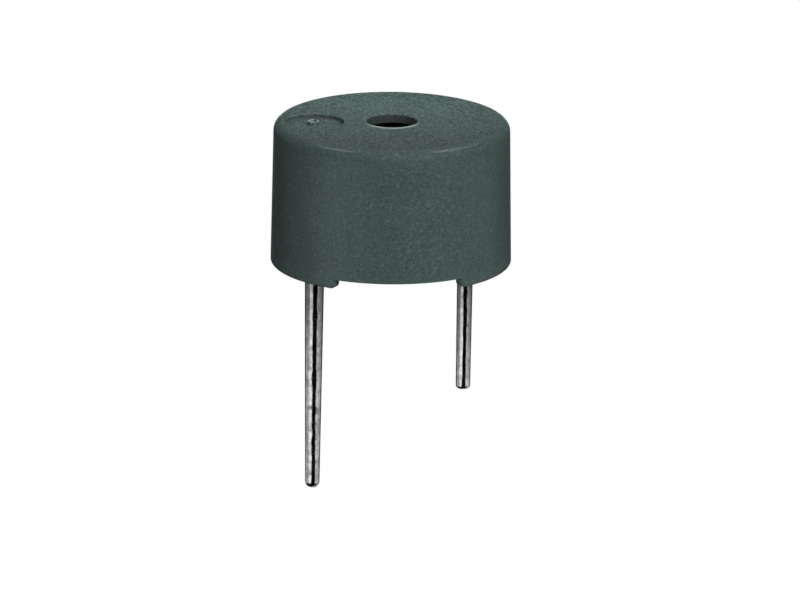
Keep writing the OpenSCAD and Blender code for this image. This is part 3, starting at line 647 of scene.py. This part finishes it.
def placeCamera(settings):
    back = heading(settings["azimuth"], settings["elevation"])
    right = Vector((-back.y, back.x, 0)).normalized()
    up = back.cross(right)
    roll = math.radians(settings["roll"])
    across = settings["image"][0] / 2 - settings["axisPixel"][0]
    down = settings["image"][1] / 2 - settings["axisPixel"][1]
    scale = mm / settings["pixelsPerMm"]
    target = Vector((0, 0, settings["axisHeight"]))
    aim = (target + right * (across * math.cos(roll) + down * math.sin(roll)) * scale
           - up * (down * math.cos(roll) - across * math.sin(roll)) * scale)
    eye = target + back * settings["distance"]
    data = bpy.data.cameras.new("camera")
    camera = bpy.data.objects.new("camera", data)
    scene.collection.objects.link(camera)
    data.sensor_width = settings["sensor"]
    data.lens = settings["pixelsPerMm"] * settings["distance"] / mm * settings["sensor"] / settings["image"][0]
    data.clip_start, data.clip_end = settings["clip"]
    look = (eye - aim).normalized()
    level = Vector((0, 0, 1)).cross(look).normalized()
    upright = look.cross(level)
    side = level * math.cos(roll) + upright * math.sin(roll)
    top = look.cross(side)
    turn = Matrix((side, top, look)).transposed()
    camera.matrix_world = Matrix.Translation(eye) @ turn.to_4x4()
    scene.camera = camera


placeCamera(cameraSettings)

# Azimuth from the camera, elevation and distance from the middle of the case, size in mm. The lamp over the back
# looks straight down. The tent gives the gloss that the lamps at the two sides don't.
lampSettings = {
    "key": {"azimuth": 25, "elevation": 30, "distance": 350, "size": (150, 150), "power": 0.92},
    "left": {"azimuth": -27, "elevation": 5, "distance": 350, "size": (120, 200), "power": 0.34, "gloss": False},
    "right": {"azimuth": 78, "elevation": 20, "distance": 350, "size": (150, 200), "power": 0.2, "gloss": False},
    "back": {"azimuth": 180, "elevation": -6, "distance": 350, "size": (150, 50), "power": 0.6},
    "over": {"azimuth": 180, "elevation": 75, "distance": 15, "size": (18, 6), "power": 0.00076, "spread": 125},
}
for lampName, lamp in lampSettings.items():
    data = bpy.data.lights.new(lampName, "AREA")
    data.shape = "RECTANGLE"
    data.size, data.size_y = (side * mm for side in lamp["size"])
    data.energy = lamp["power"]
    holder = bpy.data.objects.new(lampName, data)
    scene.collection.objects.link(holder)
    holder.visible_camera = False
    holder.visible_glossy = lamp.get("gloss", True)
    out = heading(lamp["azimuth"] + cameraSettings["azimuth"], lamp["elevation"])
    holder.location = Vector((0, 0, cameraSettings["axisHeight"])) + out * (lamp["distance"] * mm)
    if "spread" in lamp:
        data.spread = math.radians(lamp["spread"])
    else:
        holder.rotation_euler = out.to_track_quat("Z", "Y").to_euler()

# Levels of the tent's parts, and where they lie in degrees: azimuth from the camera, elevation from level
tentSettings = {
    "radius": 0.8, "segments": (48, 24), "edge": 5,
    "left": 1.3, "leftWindow": (-62, -18), "right": 0.84, "rightWindow": (41, 75), "windowHeight": (-24, -9),
    "front": 0.002, "leftSide": 0.55, "rightSide": 0.56, "sideBlend": 0.08, "above": 0.02, "aboveFrom": (2, 10),
    "behind": 0.06, "behindFrom": (112, 124), "back": 0.6, "backWindow": (168, 250), "backBelow": (-14, -8),
    "sheen": 4.8, "sheenWindow": (-70, -48), "sheenHeight": (-6, 22),
    "kick": 7.0, "kickWindow": (72, 102), "kickHeight": (52, 64),
}


# What the gloss of the part sees: a low bright window on each side of the camera in a grey tent, dark in front, above
# and behind the part, with a soft patch on the left for the side and two high ones for the top's edge
def raiseTent(settings):
    shape = bmesh.new()
    columns, rows = settings["segments"]
    bmesh.ops.create_uvsphere(shape, u_segments=columns, v_segments=rows, radius=settings["radius"])
    mesh = bpy.data.meshes.new("tent")
    shape.to_mesh(mesh)
    shape.free()
    tent = bpy.data.objects.new("tent", mesh)
    scene.collection.objects.link(tent)
    tent.visible_camera = tent.visible_diffuse = tent.visible_shadow = tent.visible_transmission = False
    material = bpy.data.materials.new("tent")
    material.use_nodes = True
    tree = material.node_tree
    tree.nodes.clear()
    flow = Flow(tree)
    x, y, z = xyz(flow, flow.node("ShaderNodeTexCoord", output="Object"))
    azimuth = flow.maths("ARCTAN2", x, -1.0 * y) * math.degrees(1) - cameraSettings["azimuth"]
    elevation = flow.maths("ARCSINE", z / settings["radius"]) * math.degrees(1)
    turned = flow.maths("ABSOLUTE", azimuth)
    edge = settings["edge"]
    left = window(flow, azimuth, settings["leftWindow"], edge)
    right = window(flow, azimuth, settings["rightWindow"], edge)
    front = window(flow, azimuth, (settings["leftWindow"][1], settings["rightWindow"][0]), edge)
    low = window(flow, elevation, settings["windowHeight"], edge)
    kick = window(flow, turned, settings["kickWindow"], edge) * window(flow, elevation, settings["kickHeight"], edge)
    sheen = window(flow, azimuth, settings["sheenWindow"], edge)
    sheen = sheen * window(flow, elevation, settings["sheenHeight"], edge)
    side = ranged(flow, x, -settings["sideBlend"], settings["sideBlend"], settings["leftSide"] * low,
                  settings["rightSide"])
    side = side + ranged(flow, turned, *settings["behindFrom"]) * (settings["behind"] - side)
    back = window(flow, turned, settings["backWindow"], edge)
    back = back * ranged(flow, elevation, *settings["backBelow"], 1.0, 0.0)
    side = side + back * (settings["back"] - side)
    side = side + ranged(flow, elevation, *settings["aboveFrom"]) * (settings["above"] - side)
    tone = (side * (1.0 - left - right - front) + settings["front"] * front + settings["left"] * left * low
            + settings["right"] * right * low + settings["kick"] * kick + settings["sheen"] * sheen)
    glow = flow.node("ShaderNodeEmission", {}, {"Color": white, "Strength": tone})
    tree.links.new(glow.link, tree.nodes.new("ShaderNodeOutputMaterial").inputs["Surface"])
    material.cycles.emission_sampling = "NONE"
    mesh.materials.append(material)


raiseTent(tentSettings)

worldSettings = {"ambient": 0.06}


def lightWorld(settings):  # white where it is seen or mirrored, dim where it lights
    world = bpy.data.worlds.new("studio")
    scene.world = world
    world.use_nodes = True
    flow = Flow(world.node_tree)
    seen = flow.node("ShaderNodeLightPath", output="Is Camera Ray")
    for ray in ("Is Glossy Ray", "Is Transmission Ray"):
        seen = flow.maths("MAXIMUM", seen, flow.node("ShaderNodeLightPath", output=ray))
    strength = seen * (1 - settings["ambient"]) + settings["ambient"]
    backdrop = flow.node("ShaderNodeBackground", {}, {"Color": white, "Strength": strength})
    world.node_tree.links.new(backdrop.link, world.node_tree.nodes["World Output"].inputs["Surface"])


lightWorld(worldSettings)

floorSettings = {"height": -60 * mm, "reach": 1.5, "tone": (0.82, 0.82, 0.82, 1), "white": 0.99}


def layFloor(settings):  # pale paper that shows white to the camera, and nothing from below
    reach, height = settings["reach"], settings["height"]
    mesh = bpy.data.meshes.new("floor")
    corners = [(x * reach, y * reach, height) for x, y in ((-1, -1), (1, -1), (1, 1), (-1, 1))]
    mesh.from_pydata(corners, [], [(0, 1, 2, 3)])
    floor = bpy.data.objects.new("floor", mesh)
    scene.collection.objects.link(floor)
    floor.visible_glossy = floor.visible_diffuse = False
    material = bpy.data.materials.new("floor")
    material.use_nodes = True
    tree = material.node_tree
    tree.nodes.clear()
    flow = Flow(tree)
    seen = flow.node("ShaderNodeLightPath", output="Is Camera Ray")
    behind = flow.node("ShaderNodeNewGeometry", output="Backfacing")
    paper = flow.node("ShaderNodeBsdfDiffuse", {}, {"Color": settings["tone"]})
    glow = flow.node("ShaderNodeEmission", {}, {"Color": white})
    paper = flow.node("ShaderNodeMixShader", {}, {0: seen * settings["white"], 1: paper, 2: glow})
    paper = flow.node("ShaderNodeMixShader", {}, {0: behind, 1: paper, 2: flow.node("ShaderNodeBsdfTransparent")})
    tree.links.new(paper.link, tree.nodes.new("ShaderNodeOutputMaterial").inputs["Surface"])
    material.cycles.emission_sampling = "NONE"
    mesh.materials.append(material)


layFloor(floorSettings)
print("stage set")
